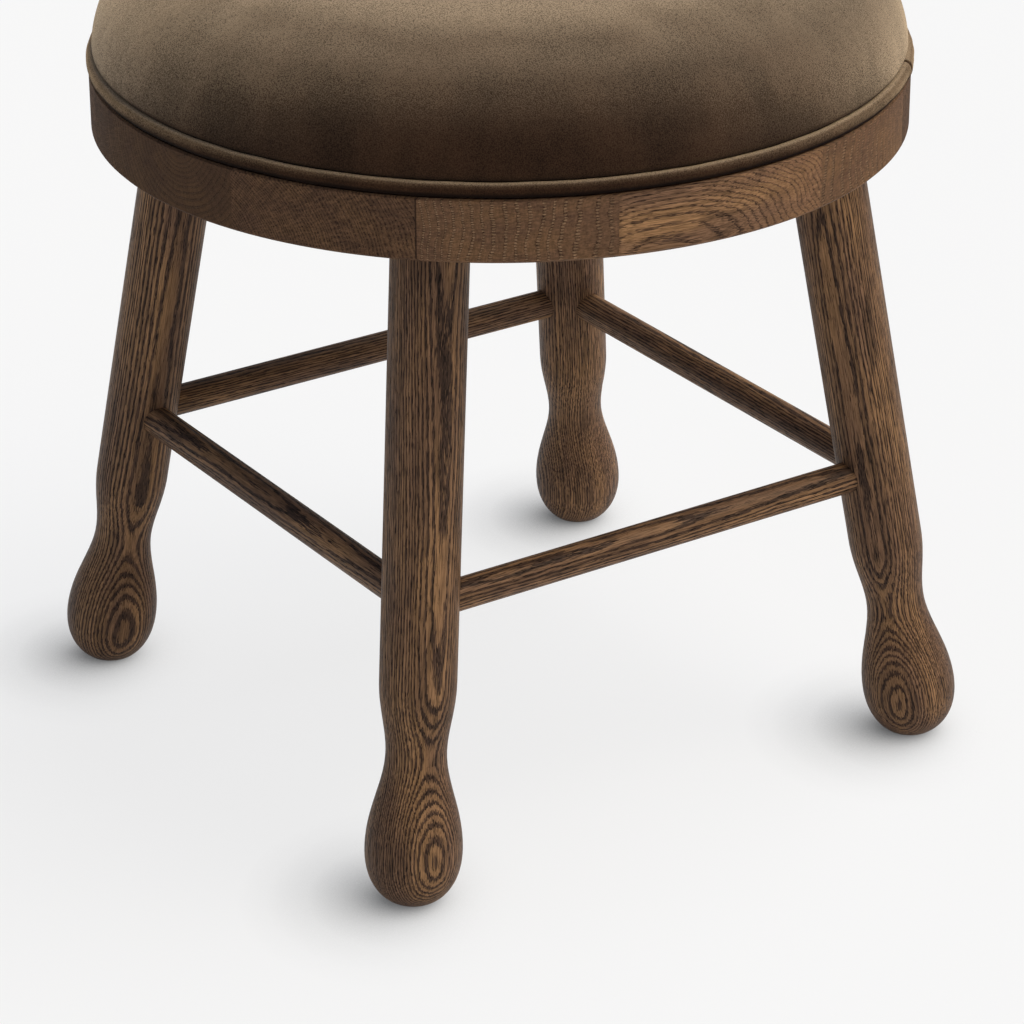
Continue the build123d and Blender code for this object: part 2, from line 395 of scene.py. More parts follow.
@dataclass(frozen=True)
class Blank:
    """The timber that a part is cut from, by where its grain and the heart of its tree lie.

    Attributes:
        name: The part's node.
        grain: Direction of the grain.
        heart: A point on the line of the tree's heart.
        across: A direction across the grain, which the pattern's first axis follows.
        ring_mm: Mean width of a growth ring.
        reach_mm: Rough distance from the heart to the part.
        tone: Brightness of the stain on it.
        seed: Sets its pattern apart from its neighbours'.
        porous: Share of a ring that is early wood.
        figure: How strongly the rings show.
        cross: How far its faces across the grain look like end grain.
        dust: Share of the vessels there that are filled with pale dust.
        joints: Its glue joints, each by its place across the stool's axis in millimetres and its darkness.
    """

    name: str
    grain: Vector
    heart: Vector
    across: Vector
    ring_mm: float
    reach_mm: float
    tone: float = 1.0
    seed: float = 0.0
    porous: float = 0.42
    figure: float = 1.0
    cross: float = 0.2
    dust: float = 0.0
    joints: Tuple[Pair, ...] = ()

    def axes(self) -> Matrix:
        """The pattern's axes as rows, the third along the grain."""
        along = self.grain.normalized()
        first = (self.across - along * self.across.dot(along)).normalized()
        return Matrix((first, along.cross(first), along))


@dataclass(frozen=True)
class Oak:
    """Stained oak with open pores and a satin finish, patterned through the whole thickness.

    Attributes:
        late: Colour of the dense late wood.
        gold: Its colour where it is warmer.
        early: Colour of the porous early wood.
        pore: Colour of an open pore along the grain.
        end: Colour that end grain turns to.
        pore_end: Colour of a vessel cut across.
        ray: Colour of the rays.
        glue: Colour of a glue joint.
        sway_mm: How far the rings wander.
        sway_size_mm: Size of that wandering.
        ripple_mm: How far they ripple on the way.
        ripple_size_mm: Size of the ripples.
        jag_mm: How ragged a ring's edge is.
        jag_size_mm: Size of the ragged tongues.
        pore_size_mm: Spacing of the pores.
        vessel_mm: Spacing of the vessels along a ring, which show on end grain.
        vessel_shift: How many spacings the vessels of one ring may stand off those of the next.
        fibre_size_mm: Size of the fibres.
        patch_size_mm: Size of the warmer patches.
        streak_size_mm: Size of the darker streaks of stain.
        ray_size_mm: Size of a ray: out from the heart, round it and along the grain.
        hatch_size_mm: Size of the hatching on end grain, in the same order.
        uneven_rings: Number of rings over which their width changes.
        early_edge: Share of a ring in which early wood turns to late wood, to each side.
        ring_end: Share of a ring after which the early wood of the next one shows.
        end_slope: How far a face turns across the grain where it starts, and ends, to turn to end grain.
        joint_mm: Half the width of a glue joint, with its stain and without.
        seed_mm: How far a seed of 1 shifts the pattern along each axis.
        ring_seed: How far it shifts the widths of the rings.
        pore_depth_mm: Depth of a pore.
        gloss: Strength of the finish's reflection.
    """

    late: Colour = rgb(122, 94, 75)
    gold: Colour = rgb(135, 104, 75)
    early: Colour = rgb(58, 44, 39)
    pore: Colour = rgb(17, 12, 12)
    end: Colour = rgb(84, 63, 54)
    pore_end: Colour = rgb(160, 130, 102)
    ray: Colour = rgb(122, 92, 70)
    glue: Colour = rgb(30, 22, 20)
    sway_mm: float = 5.0
    sway_size_mm: Triple = (30.0, 30.0, 150.0)
    ripple_mm: float = 1.3
    ripple_size_mm: Triple = (7.0, 7.0, 45.0)
    jag_mm: float = 1.4
    jag_size_mm: Triple = (0.55, 0.55, 8.0)
    pore_size_mm: Triple = (0.5, 0.5, 4.5)
    vessel_mm: float = 1.15
    vessel_shift: float = 7.0
    fibre_size_mm: Triple = (0.5, 0.5, 12.0)
    patch_size_mm: Triple = (14.0, 14.0, 90.0)
    streak_size_mm: Triple = (4.0, 4.0, 45.0)
    ray_size_mm: Triple = (8.0, 0.7, 3.0)
    hatch_size_mm: Triple = (0.55, 2.2, 4.0)
    uneven_rings: float = 3.2
    early_edge: float = 0.12
    ring_end: float = 0.92
    end_slope: Pair = (0.14, 0.4)
    joint_mm: Pair = (0.45, 0.1)
    seed_mm: Triple = (37.0, 53.0, 211.0)
    ring_seed: float = 29.0
    pore_depth_mm: float = 0.14
    gloss: float = 0.1

    def dress(self, blank: Blank) -> None:
        """Gives a part of the frame the grain of its blank.

        Args:
            blank: The timber that the part is cut from, named after its node.
        """
        graph = Graph(bpy.data.materials.new(f"oak_{blank.name}"))
        spot = graph.place(blank.axes(), blank.heart)
        own = graph.vector("ADD", spot, tuple(blank.seed * step for step in self.seed_mm))
        grown = spot
        for size, far in ((self.sway_size_mm, self.sway_mm), (self.ripple_size_mm, self.ripple_mm)):
            drift = graph.vector("SUBTRACT", graph.cloud(own, size, 1.0, 1).socket, (0.5, 0.5, 0.5))
            grown = graph.vector("MULTIPLY_ADD", drift, (far, far, 0.0), grown)
        x, y, z = graph.split(grown)
        radius = (x * x + y * y) ** 0.5
        normal = graph.add("ShaderNodeNewGeometry").outputs["Normal"]
        end_face = abs(graph.along(normal, blank.grain.normalized())).fade(*self.end_slope) * blank.cross

        ring_spot = graph.join(radius, blank.seed * self.ring_seed, 0.0)
        uneven = graph.cloud(ring_spot, (self.uneven_rings * blank.ring_mm,) * 3, 1.0)
        jag = (graph.cloud(own, self.jag_size_mm, 1.0) - 0.5) * self.jag_mm
        count = (radius + jag * (1 - end_face * 0.5)) / blank.ring_mm + (uneven - 0.5) * 2.0
        ring = count.floor()
        part = count - ring
        early = part.fade(blank.porous + self.early_edge, blank.porous - self.early_edge)
        early = early.greater(part.fade(self.ring_end, 1.0))
        ring_tone = graph.signal(
            "ShaderNodeTexWhiteNoise", {"noise_dimensions": "1D"}, {"W": ring + blank.seed}, "Value"
        )
        angle = y.math("ARCTAN2", y, x) * blank.reach_mm
        step = angle / self.vessel_mm + ring_tone * self.vessel_shift
        beside = (step - step.floor() - 0.5) * self.vessel_mm
        inside = (part - blank.porous * 0.5) * blank.ring_mm
        far = ((beside * beside + inside * inside) ** 0.5) / (blank.ring_mm * 0.3)
        vessel = far.fade(0.62, 0.3) * end_face

        pores, chance = graph.cells(own, self.pore_size_mm)
        size = (0.15 + early * 0.33) * (0.45 + chance * 0.9)
        pore = pores.fade(size, size * 0.55)
        fibre = graph.cloud(own, self.fibre_size_mm, 2.0).fade(0.3, 0.7)
        broad = graph.cloud(own, self.patch_size_mm, 2.0).fade(0.3, 0.7)
        streak = graph.cloud(own, self.streak_size_mm, 1.0).fade(0.58, 0.74)
        round_heart = graph.join(radius, angle, z)
        ray = graph.cloud(round_heart, self.ray_size_mm, 1.0).fade(0.36, 0.64)
        hatch = graph.cloud(round_heart, self.hatch_size_mm, 1.0) - 0.5

        wood = graph.mix(broad, self.late, self.gold)
        wood = graph.mix(early * (0.9 * blank.figure), wood, self.early)
        wood = graph.mix(end_face * 0.4, wood, self.end)
        wood = graph.mix(ray * (0.06 + end_face * 0.3), wood, self.ray)
        wood = graph.mix(pore * (0.9 * blank.figure), wood, self.pore)
        wood = graph.mix(vessel * (0.35 + chance * 0.65) * blank.dust, wood, self.pore_end)
        level = (0.62 + fibre * 0.7) * (0.84 + broad * 0.28) * (0.84 + ring_tone * 0.32)
        level = level * (1 - streak * 0.35)
        across = (1 + hatch * 1.1) * (0.8 + ray * 0.34)
        level = level + (across - level) * (end_face * 0.7)
        wood = graph.shade(wood, level * blank.tone)
        side = graph.along(graph.add("ShaderNodeTexCoord").outputs["Object"], blank.across) / MM
        for joint, darkness in blank.joints:
            wood = graph.mix(abs(side - joint).fade(*self.joint_mm) * darkness, wood, self.glue)
        shader = {
            "Base Color": wood,
            "Roughness": 0.4 + pore * 0.25 + fibre * 0.08 + end_face * 0.25,
            "Specular IOR Level": self.gloss,
        }
        relief = fibre * 0.3 - pore - early * 0.3
        graph.finish(frame["nodes"][blank.name], shader, relief, self.pore_depth_mm)
        log.info("%s dressed", blank.name)


@dataclass(frozen=True)
class Velvet:
    """Short-piled velvet: dark where one looks into the pile, pale along its edges.

    Attributes:
        deep: Colour at the root of the pile.
        pale: Colour of the pile's tips.
        crown: Painted top light: a paler colour laid on where the cloth faces up, standing in for the light
            that falls on the top.
        sheen: Colour of the light that grazes the pile.
        painted_top_slope: How far the cloth faces up where the painted top light starts, and is full.
        pile_mm: Spacing of the tufts.
        nap_size_mm: Size of the patches where the nap lies another way.
        brush_size_mm: Size of the marks of brushing.
        relief_mm: Depth of all these.
        gloss: Strength of the pile's reflection.
        softness: Roughness of the sheen.
    """

    deep: Colour = rgb(24, 12, 7)
    pale: Colour = rgb(54, 34, 22)
    crown: Colour = rgb(122, 107, 91)
    sheen: Colour = rgb(253, 228, 196)
    painted_top_slope: Pair = (0.74, 1.04)
    pile_mm: float = 0.6
    nap_size_mm: Triple = (30.0, 30.0, 48.0)
    brush_size_mm: Triple = (9.0, 9.0, 30.0)
    relief_mm: float = 0.5
    gloss: float = 0.08
    softness: float = 0.59

    def dress(self, piece: bpy.types.Object, name: str, painted_shade_mm: Pair, upright: float) -> None:
        """Covers a piece in the velvet.

        Args:
            piece: The piece.
            name: What to call the material.
            painted_shade_mm: Heights between which painted shade darkens the pile and takes away its sheen,
                towards the crease below.
            upright: Share of the sheen that is left where the cloth stands upright.
        """
        graph = Graph(bpy.data.materials.new(name))
        spot = graph.place(Matrix.Identity(3), Vector())
        pile = graph.cloud(spot, (self.pile_mm,) * 3, 2.0).fade(0.3, 0.7)
        nap = graph.cloud(spot, self.nap_size_mm, 3.0).fade(0.3, 0.7)
        brush = graph.cloud(spot, self.brush_size_mm, 2.0)
        level = graph.along(graph.add("ShaderNodeNewGeometry").outputs["Normal"], UP)
        # Painted shade: below these heights the colour is darkened and the sheen taken away, standing in
        # for the shade in the crease.
        clear_of_painted_shade = graph.split(spot)[2].fade(painted_shade_mm[1], painted_shade_mm[0])
        cloth = graph.mix(pile * 0.6 + nap * 0.4, self.deep, self.pale)
        # Painted top light: the colour turns to the paler crown colour where the cloth faces up.
        painted_top_light = graph.shade(self.crown, 0.45 + pile * 1.1)
        cloth = graph.mix(level.fade(*self.painted_top_slope), cloth, painted_top_light)
        common = {
            "Base Color": graph.shade(cloth, (0.85 + brush * 0.3) * (0.3 + clear_of_painted_shade * 0.7)),
            "Roughness": 0.85 + pile * 0.1,
            "Specular IOR Level": self.gloss,
            "Normal": graph.relief(pile * 0.12 + brush * 0.5 + nap * 0.6, self.relief_mm),
        }
        sheen = {"Sheen Weight": 1.0, "Sheen Roughness": self.softness, "Sheen Tint": self.sheen}
        matt = graph.surface(common)
        sheeny = graph.surface({**common, **sheen})
        edge = graph.signal("ShaderNodeLayerWeight", None, {"Blend": 0.5}, "Facing")
        raised = upright + (level * 0.76 + edge * 0.64).fade(0.14, 0.9) * (1.0 - upright)
        raised = raised * (0.35 + pile * 1.3) * (0.85 + nap * 0.3)
        both = graph.add("ShaderNodeMixShader", None, {0: raised * clear_of_painted_shade, 1: matt, 2: sheeny})
        graph.put_on(piece, both.outputs[0])


@dataclass(frozen=True)
class Grained:
    """A plain stuff with a speckle of its own: foam, wadding, felt, cord or steel.

    Attributes:
        name: What the material is called.
        dark: Colour of the hollows.
        light: Colour of the rest.
        size_mm: Size of the speckle along each axis.
        roughness: Roughness of the surface.
        metallic: 1 for bare metal.
        depth_mm: Depth of the speckle.
    """

    name: str
    dark: Colour
    light: Colour
    size_mm: Triple
    roughness: float
    metallic: float = 0.0
    depth_mm: float = 0.1

    def dress(self, piece: bpy.types.Object) -> None:
        """Puts the stuff on a piece."""
        graph = Graph(bpy.data.materials.new(f"{self.name}_{piece.name}"))
        spot = graph.place(Matrix.Identity(3), Vector())
        fine = graph.cloud(spot, self.size_mm, 3.0)
        broad = graph.cloud(spot, tuple(12 * size for size in self.size_mm), 2.0)
        shader = {
            "Base Color": graph.mix(fine * 0.8 + broad * 0.6 - 0.2, self.dark, self.light),
            "Roughness": self.roughness + (fine - 0.5) * 0.2,
            "Metallic": self.metallic,
        }
        graph.finish(piece, shader, fine, self.depth_mm)


@dataclass(frozen=True)
class Plywood:
    """Birch plywood: plies of turn-about grain, seen as bands on the edge.

    Attributes:
        pale: Colour of a ply along its grain.
        brown: Colour of a ply cut across.
        ply_mm: Thickness of a ply.
        grain_size_mm: Size of its grain.
    """

    pale: Colour = rgb(205, 178, 138)
    brown: Colour = rgb(160, 124, 84)
    ply_mm: float = 1.7
    grain_size_mm: Triple = (1.2, 40.0, 1.2)

    def dress(self, piece: bpy.types.Object) -> None:
        """Puts the plywood on a board."""
        graph = Graph(bpy.data.materials.new(f"plywood_{piece.name}"))
        spot = graph.place(Matrix.Identity(3), Vector())
        ply = graph.split(spot)[2] / self.ply_mm
        odd = abs((ply / 2.0 - (ply / 2.0).floor()) - 0.5).fade(0.2, 0.3)
        grain = graph.cloud(spot, self.grain_size_mm, 3.0)
        shader = {
            "Base Color": graph.shade(graph.mix(odd, self.pale, self.brown), 0.75 + grain * 0.5),
            "Roughness": 0.55 + grain * 0.15,
        }
        graph.finish(piece, shader, grain, 0.1)


FOAM = Grained("foam", rgb(196, 180, 128), rgb(226, 212, 164), (1.6, 1.6, 1.6), 0.9, depth_mm=0.5)
WADDING = Grained("wadding", rgb(214, 212, 206), rgb(240, 239, 234), (2.5, 2.5, 1.0), 0.95, depth_mm=0.6)
STEEL = Grained("steel", rgb(120, 120, 122), rgb(180, 180, 180), (1.0, 1.0, 1.0), 0.35, 1.0, 0.01)
CORD = Grained("cord", rgb(206, 200, 186), rgb(232, 228, 216), (0.6, 0.6, 0.6), 0.9)
FELT = Grained("felt", rgb(40, 34, 30), rgb(72, 62, 54), (0.5, 0.5, 0.5), 0.95, depth_mm=0.3)


def to_object_mode() -> None:
    """Leaves edit mode and lets go of everything that is selected."""
    if bpy.context.object and bpy.context.object.mode != "OBJECT":
        bpy.ops.object.mode_set(mode="OBJECT")
    bpy.ops.object.select_all(action="DESELECT")


def take(piece: bpy.types.Object) -> None:
    """Selects one object alone and makes it active."""
    to_object_mode()
    piece.select_set(True)
    bpy.context.view_layer.objects.active = piece


def apply_modifier(piece: bpy.types.Object, kind: str, settings: Dict[str, Any]) -> None:
    """Adds a modifier and applies it.

    Args:
        piece: The object.
        kind: The modifier's type.
        settings: Its properties.
    """
    take(piece)
    modifier = piece.modifiers.new(kind.lower(), kind)
    for name, value in settings.items():
        setattr(modifier, name, value)
    bpy.ops.object.modifier_apply(modifier=modifier.name)


def points_of(piece: bpy.types.Object) -> np.ndarray:
    """The places of a mesh's points, one row each."""
    flat = np.empty(3 * len(piece.data.vertices))
    piece.data.vertices.foreach_get("co", flat)
    return flat.reshape(-1, 3)


def move_points(piece: bpy.types.Object, points: np.ndarray) -> None:
    """Puts a mesh's points at new places."""
    piece.data.vertices.foreach_set("co", np.ascontiguousarray(points).ravel())
    piece.data.update()


def leave(name: str) -> bpy.types.Object:
    """Leaves edit mode, names the new object and puts its place into its mesh.

    Args:
        name: The object's name.

    Returns:
        The object.
    """
    bpy.ops.object.mode_set(mode="OBJECT")
    piece = bpy.context.object
    piece.name = name
    bpy.ops.object.transform_apply(location=True, rotation=True, scale=True)
    return piece


def widen(share: float) -> None:
    """Scales what is selected away from the stool's axis."""
    bpy.ops.transform.resize(value=(share, share, 1.0), center_override=(0.0, 0.0, 0.0))


def face_outwards() -> None:
    """Turns the faces of the mesh in edit mode outwards."""
    bpy.ops.mesh.select_all(action="SELECT")
    bpy.ops.mesh.normals_make_consistent(inside=False)


def arc(centre: Pair, radius: float, start: float, end: float, steps: int) -> List[Pair]:
    """Points along an arc of a section, without its first.

    Args:
        centre: Its centre, as radius from the axis and height.
        radius: Its radius.
        start: Angle of its first point, in degrees.
        end: Angle of its last point, in degrees.
        steps: Number of points.

    Returns:
        The points, as radius from the axis and height.
    """
    angles = [math.radians(start + (end - start) * step / steps) for step in range(1, steps + 1)]
    return [(centre[0] + radius * math.cos(a), centre[1] + radius * math.sin(a)) for a in angles]


def turned_form(name: str, outline: Sequence[Pair], segments: int) -> bpy.types.Object:
    """Raises a closed round form, ring by ring, from a disc.

    Args:
        name: The object's name.
        outline: Its section from the rim of its underside up to near the axis, as radius and height.
        segments: Number of points in a ring.

    Returns:
        The object.
    """
    to_object_mode()
    radius, height = outline[0]
    bpy.ops.mesh.primitive_circle_add(
        vertices=segments, radius=radius, fill_type="NGON", location=(0.0, 0.0, height), enter_editmode=True
    )
    for next_radius, next_height in outline[1:]:
        rise = {"value": (0.0, 0.0, next_height - height)}
        bpy.ops.mesh.extrude_region_move(TRANSFORM_OT_translate=rise)
        widen(next_radius / radius)
        radius, height = next_radius, next_height
    bpy.ops.mesh.poke()
    face_outwards()
    form = leave(name)
    bpy.ops.object.shade_smooth()
    return form


def settle(piece: bpy.types.Object, slot: Slot, *nodes: str) -> None:
    """Fixes a finished piece to the stool in place of its nodes.

    Args:
        piece: The piece.
        slot: The record's slot for its finish; not used.
        nodes: The nodes that it stands for.
    """
    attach(piece, BODY)
    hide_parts(*nodes)
    log.info("%s stands for %s", piece.name, ", ".join(nodes))


@dataclass(frozen=True)
class Board:
    """One board of the seat panel.

    Attributes:
        width_mm: Its width across the panel.
        heart_mm: Where the heart of its tree lies: outwards along the panel, and up.
        runout: How far the grain runs outwards, and up, for each length along the board.
        ring_mm: Width of its growth rings.
        porous: Share of a ring that is early wood.
        tone: Brightness of its stain.
        figure: How strongly its rings show.
        glue: Darkness of the glue joint at its inner side.
        dust: Share of the vessels in its end grain that are filled with pale dust.
    """

    width_mm: float
    heart_mm: Pair
    runout: Pair
    ring_mm: float
    porous: float
    tone: float
    figure: float
    glue: float
    dust: float


@dataclass
class SeatPanel:
    """The round seat, an edge-glued panel of oak boards.

    Attributes:
        radius_mm: Radius of the panel.
        turn: Angle of the panel about the stool's axis, in degrees.
        least_reach_mm: Least distance from a heart at which its rings are laid out.
        seed_step: Step between the patterns of two boards.
        boards: The boards, from the strip at the right-hand edge inwards.
    """

    radius_mm: float = 216.0
    turn: float = -1.85
    least_reach_mm: float = 40.0
    seed_step: float = 1.7
    boards: Tuple[Board, ...] = (
        Board(
            width_mm=8.5, heart_mm=(274.0, 342.0), runout=(0.157, 0.0), ring_mm=1.35,
            porous=0.22, tone=1.14, figure=0.85, glue=0.15, dust=0.2,
        ),
        Board(
            width_mm=48.0, heart_mm=(20.0, 366.0), runout=(0.0, 0.02), ring_mm=2.7,
            porous=0.26, tone=0.84, figure=0.75, glue=0.8, dust=0.9,
        ),
        Board(
            width_mm=83.0, heart_mm=(58.0, 332.0), runout=(0.02, 0.0), ring_mm=1.4,
            porous=0.4, tone=0.68, figure=0.8, glue=0.15, dust=0.4,
        ),
        Board(
            width_mm=138.0, heart_mm=(41.0, 392.0), runout=(0.0, 0.02), ring_mm=3.0,
            porous=0.3, tone=0.5, figure=0.85, glue=0.2, dust=0.5,
        ),
        Board(
            width_mm=154.5, heart_mm=(-330.0, 350.0), runout=(0.0, -0.02), ring_mm=1.7,
            porous=0.4, tone=0.7, figure=0.9, glue=0.0, dust=0.3,
        ),
    )

    def dress(self, oak: Oak) -> None:
        """Gives each board its own grain.

        Args:
            oak: The finish.
        """
        out = bearing(self.turn)
        along = bearing(self.turn + 90.0)
        outer, outer_glue = self.radius_mm, 0.0
        for number, board in enumerate(self.boards, start=1):
            away, height = board.heart_mm
            inner = outer - board.width_mm
            oak.dress(Blank(
                name=f"seat_board_{number}",
                grain=along + out * board.runout[0] + UP * board.runout[1],
                heart=(out * away + UP * height) * MM,
                across=out,
                ring_mm=board.ring_mm,
                reach_mm=max(abs(inner - away), self.least_reach_mm),
                tone=board.tone,
                seed=number * self.seed_step,
                porous=board.porous,
                figure=board.figure,
                cross=1.0,
                dust=board.dust,
                joints=((outer, outer_glue), (inner, board.glue)),
            ))
            outer, outer_glue = inner, board.glue


@dataclass
class LegFrame:
    """The four turned legs, the rods between them and the felt under their feet.

    Attributes:
        top_circle: Radius of the circle where the legs' axes meet the seat.
        top_height: Height of the seat's underside.
        floor_circle: Radius of the circle where their axes meet the floor.
        rod_height: Height of the rods.
        rod_offset: Distance of the rods from the stool's axis.
        faces: For each leg, the angle of the side that shows the flat of the rings, in degrees.
        tilts: For each leg, how far its grain leans towards that side.
        rings_mm: For each leg, the width of its growth rings.
        hearts_mm: For each leg, how far off the heart of its tree lies.
        tones: For each leg, the brightness of its stain.
        leg_seed: The first leg's pattern, and the step to the next leg's.
        rod_heart: Where the heart of a rod's tree lies from the rod: outwards, and up.
        rod_rise: How far a rod's grain rises for each length along it.
        rod_ring_mm: Width of a rod's growth rings.
        rod_reach_mm: Distance from the heart at which they are laid out.
        rod_tone: Brightness of the rods' stain.
        rod_seed: The first rod's pattern, and the step to the next rod's.
        felt_round: Radius of a felt disc's worn edge.
        felt_sides: Points in a felt disc's rim.
    """

    top_circle: float = 0.1708
    top_height: float = 0.348
    floor_circle: float = 0.23467
    rod_height: float = 0.156
    rod_offset: float = 0.1457
    faces: Tuple[float, ...] = (-7.0, -54.0, 60.0, -12.0)
    tilts: Tuple[float, ...] = (-0.016, 0.01, 0.0, 0.008)
    rings_mm: Tuple[float, ...] = (1.4, 1.3, 1.2, 1.85)
    hearts_mm: Tuple[float, ...] = (61.0, 60.0, 60.0, 60.0)
    tones: Tuple[float, ...] = (0.93, 0.98, 1.1, 1.02)
    leg_seed: Pair = (10.0, 2.3)
    rod_heart: Pair = (-0.03, -0.045)
    rod_rise: float = 0.01
    rod_ring_mm: float = 1.5
    rod_reach_mm: float = 55.0
    rod_tone: float = 0.92
    rod_seed: Pair = (30.0, 1.9)
    felt_round: float = 0.0005
    felt_sides: int = 48

    def dress_legs(self, oak: Oak) -> None:
        """Gives each leg its own grain, flat-sawn towards its face angle.

        Args:
            oak: The finish.
        """
        for number, corner in enumerate(Corner):
            top = corner.outward * self.top_circle + UP * self.top_height
            foot = corner.outward * self.floor_circle
            face = bearing(self.faces[number])
            away_mm = self.hearts_mm[number]
            oak.dress(Blank(
                name=f"leg_{corner.label}",
                grain=(top - foot).normalized() + face * self.tilts[number],
                heart=foot + face * away_mm * MM,
                across=face,
                ring_mm=self.rings_mm[number],
                reach_mm=away_mm,
                tone=self.tones[number],
                seed=self.leg_seed[0] + number * self.leg_seed[1],
            ))

    def dress_rods(self, oak: Oak) -> None:
        """Gives each rod straight grain along its length.

        Args:
            oak: The finish.
        """
        away, above = self.rod_heart
        for number, side in enumerate(Side):
            oak.dress(Blank(
                name=f"stretcher_{side.label}",
                grain=bearing(side.value + 90.0) + UP * self.rod_rise,
                heart=side.outward * (self.rod_offset + away) + UP * (self.rod_height + above),
                across=UP,
                ring_mm=self.rod_ring_mm,
                reach_mm=self.rod_reach_mm,
                tone=self.rod_tone,
                seed=self.rod_seed[0] + number * self.rod_seed[1],
            ))

    def build_glides(self, felt: Grained) -> None:
        """Makes a felt disc under each foot, with a worn, rounded edge.

        Args:
            felt: The finish.
        """
        for corner in Corner:
            node = f"glide_{corner.label}"
            low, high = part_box(node)
            to_object_mode()
            bpy.ops.mesh.primitive_cylinder_add(
                vertices=self.felt_sides, radius=(high.x - low.x) / 2, depth=high.z - low.z,
                location=(low + high) / 2, enter_editmode=True,
            )
            bpy.ops.mesh.bevel(offset=self.felt_round, segments=3, affect="EDGES")
            glide = leave(f"felt_{node}")
            bpy.ops.object.shade_smooth_by_angle(angle=math.radians(35.0))
            felt.dress(glide)
            settle(glide, Slot.FELT, node)


@dataclass
class Pad:
    """The domed pad: velvet over wadding and foam on a plywood base.

    Attributes:
        welt_circle: Radius of the welt's ring.
        welt_height: Height of the welt's middle.
        crease: Radius of the hollow where the cover is tucked in behind the welt.
        bulge: Radius of the swelling over the welt.
        tuck_turn: How far the cover turns out over the welt, in degrees.
        side_round: Radius of the pad's side.
        side_turn: How far the side turns in, in degrees.
        shoulder_round: Radius of the shoulder above it.
        shoulder_turn: How far the shoulder turns in, in degrees.
        tuck_steps: Points along each of the tuck's two arcs.
        side_steps: Points along the side.
        shoulder_steps: Points along the shoulder.
        crown_step: Distance between points on the crown.
        segments: Points in a ring.
        swell: How far the stuffed cover may swell.
        stuffing_inset: How far inside the cover the stuffing starts.
        stuffing_grid: Spacing of the stuffing's points.
        held_rise: Height above the welt's middle up to which the stuffing is held.
        eased_rise: Height over which the cover then starts to follow it.
        pressure: Pressure in the stuffing.
        tension: Stiffness of its skin against stretching.
        bending: Stiffness of its skin against bending.
        frames: Length of the simulation.
        painted_shade_band_mm: Heights between which painted shade darkens the velvet into the crease below.
        upright_sheen: Share of the sheen that is left on the upright side.
    """

    welt_circle: float = WELT_CIRCLE
    welt_height: float = WELT_HEIGHT
    crease: float = 0.0040
    bulge: float = 0.0038
    tuck_turn: float = 65.0
    side_round: float = 0.050
    side_turn: float = 48.0
    shoulder_round: float = 0.115
    shoulder_turn: float = 26.0
    tuck_steps: int = 5
    side_steps: int = 9
    shoulder_steps: int = 11
    crown_step: float = 0.005
    segments: int = 160
    swell: float = 0.0016
    stuffing_inset: float = 0.0006
    stuffing_grid: float = 0.0045
    held_rise: float = 0.009
    eased_rise: float = 0.012
    pressure: float = 4.0
    tension: float = 15.0
    bending: float = 0.5
    frames: int = 20
    painted_shade_band_mm: Pair = (393.0, 387.0)
    upright_sheen: float = 0.14

    def outline(self, inset: float = 0.0) -> List[Pair]:
        """The pad's section from its underside's rim to its crown.

        Args:
            inset: How far inside the cover it runs.

        Returns:
            Points, as radius from the axis and height.
        """
        low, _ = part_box("seat_cover")
        tuck = self.welt_circle - self.crease
        reach = self.crease + self.bulge
        lean = 180.0 - self.tuck_turn
        swell = (
            self.welt_circle + reach * math.cos(math.radians(lean)),
            self.welt_height + reach * math.sin(math.radians(lean)),
        )
        points = [(tuck - inset, low.z + inset), (tuck - inset, self.welt_height)]
        welt = (self.welt_circle, self.welt_height)
        points += arc(welt, self.crease + inset, 180.0, lean, self.tuck_steps)
        points += arc(swell, self.bulge - inset, lean - 180.0, 0.0, self.tuck_steps)

        side = (swell[0] + self.bulge - self.side_round, swell[1])
        points += arc(side, self.side_round - inset, 0.0, self.side_turn, self.side_steps)
        step_in = self.side_round - self.shoulder_round
        turn = math.radians(self.side_turn)
        shoulder = (side[0] + step_in * math.cos(turn), side[1] + step_in * math.sin(turn))
        rim_turn = self.side_turn + self.shoulder_turn
        rounding = self.shoulder_round - inset
        points += arc(shoulder, rounding, self.side_turn, rim_turn, self.shoulder_steps)
        drop = shoulder[0] * math.tan(math.radians(rim_turn))
        crown_round = self.shoulder_round + shoulder[0] / math.cos(math.radians(rim_turn))
        steps = round(crown_round * math.radians(90.0 - rim_turn) / self.crown_step)
        points += arc((0.0, shoulder[1] - drop), crown_round - inset, rim_turn, 90.0, steps)[:-1]
        return points

    def stuff(self, cover: bpy.types.Object) -> None:
        """Swells the cover as stuffing does, by cloth under pressure held at its tucked-in edge.

        Args:
            cover: The cover, whose dome takes the swollen form.
        """
        body = turned_form("stuffing", self.outline(inset=self.stuffing_inset), self.segments)
        apply_modifier(body, "REMESH", {"mode": "VOXEL", "voxel_size": self.stuffing_grid})
        start = points_of(body)
        outward = np.array([point.normal for point in body.data.vertices])
        held = body.vertex_groups.new(name="held")
        side_height = self.welt_height + self.held_rise
        held.add([row for row, point in enumerate(start) if point[2] < side_height], 1.0, "REPLACE")
        cloth = body.modifiers.new("swell", "CLOTH")
        cloth.settings.vertex_group_mass = held.name
        cloth.settings.use_pressure = True
        cloth.settings.uniform_pressure_force = self.pressure
        cloth.settings.effector_weights.gravity = 0.0
        cloth.settings.tension_stiffness = self.tension
        cloth.settings.bending_stiffness = self.bending
        cloth.point_cache.frame_end = self.frames
        scene = bpy.context.scene
        for step in range(1, self.frames + 1):
            scene.frame_set(step)
        take(body)
        bpy.ops.object.modifier_apply(modifier=cloth.name)
        far = ((points_of(body) - start) * outward).sum(axis=1, keepdims=True)
        log.info("stuffing moves by %.1f to %.1f mm before it is capped", far.min() / MM, far.max() / MM)
        move_points(body, start + outward * np.clip(far, 0.0, self.swell))
        scene.frame_set(1)

